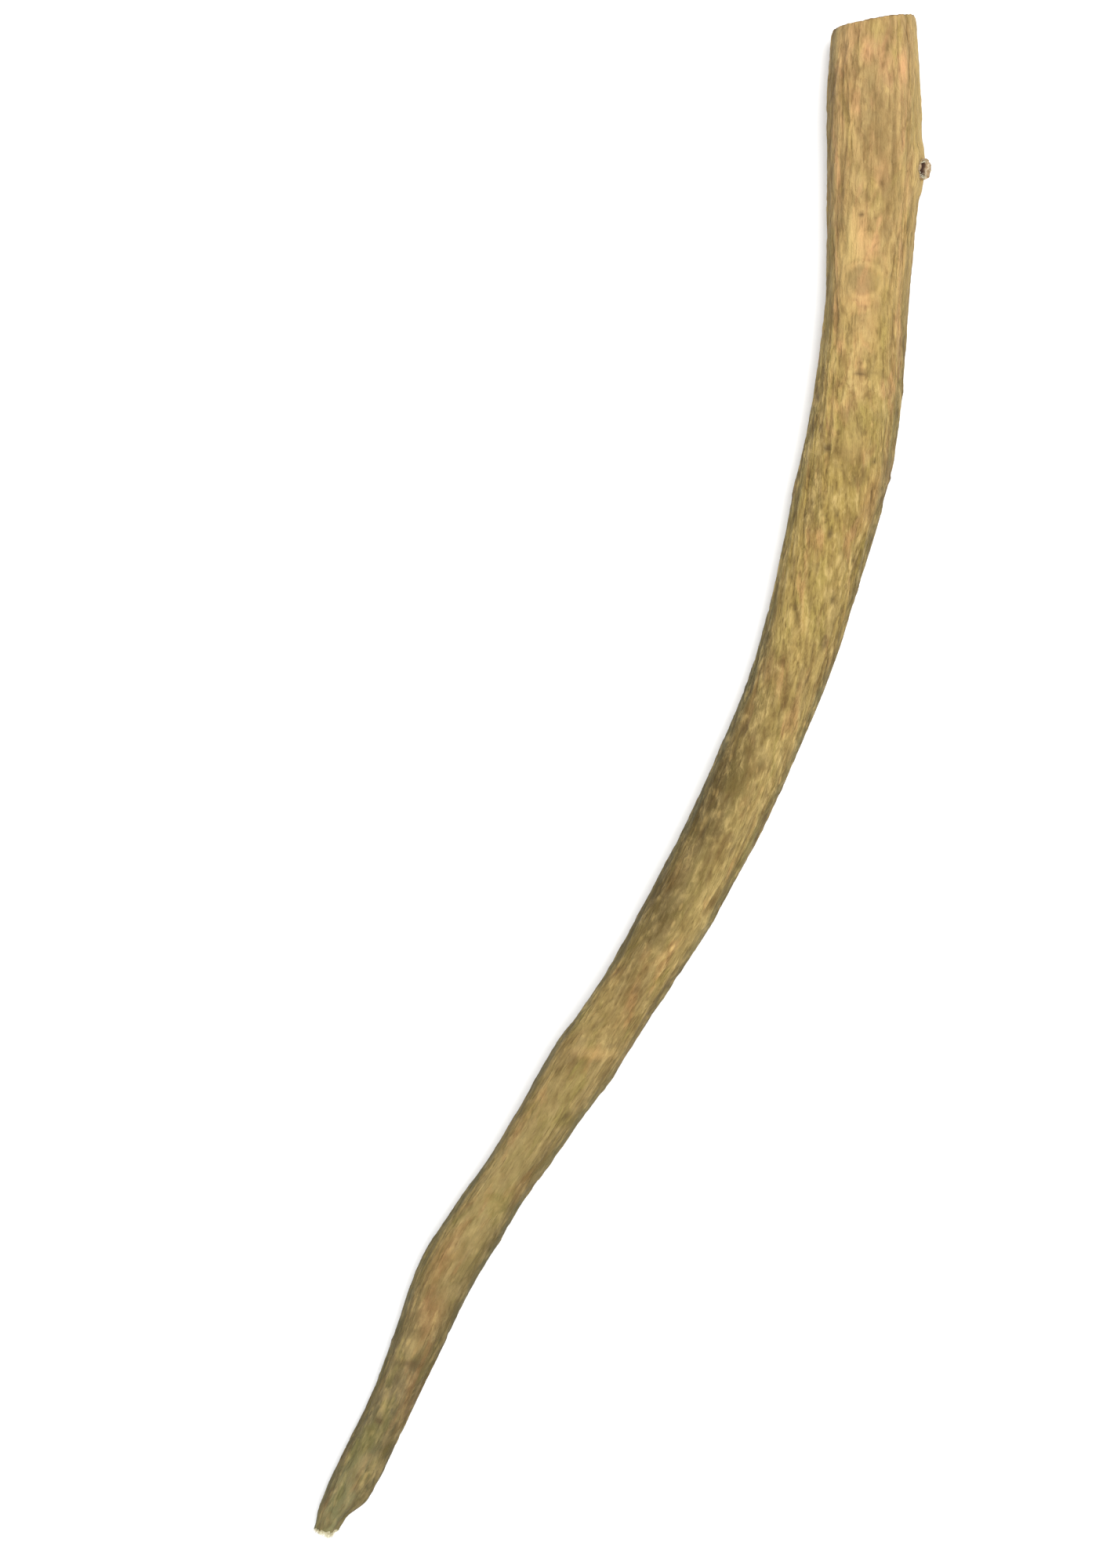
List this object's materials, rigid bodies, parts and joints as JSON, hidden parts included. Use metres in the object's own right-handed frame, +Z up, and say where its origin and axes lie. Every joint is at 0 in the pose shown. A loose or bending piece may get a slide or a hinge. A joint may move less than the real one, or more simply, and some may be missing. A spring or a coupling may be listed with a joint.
{
  "type": "pushkarmool root",
  "caption": "Dried medicinal root in one piece: a long, gently curved, tapering tan stick with fine lengthwise wrinkles, a cut crown end and a thin broken tip.",
  "frame": {"origin": "middle of the root's box, at the height of the surface it lies on", "axes": "+X from the thin broken tip to the thick cut crown, +Y towards the hollow side of the bend, +Z up from the surface the root lies on"},
  "size_m": [0.199, 0.0266, 0.0106],
  "materials": {
    "bark": "dry, matt, finely wrinkled root bark, light tan to olive brown",
    "inner_wood": "dry, matt, pale cream wood, seen on the cut crown and in the broken fibres of the tip"
  },
  "bodies": {
    "root": {"pushkarmool_root": "bark"}
  },
  "joints": []
}
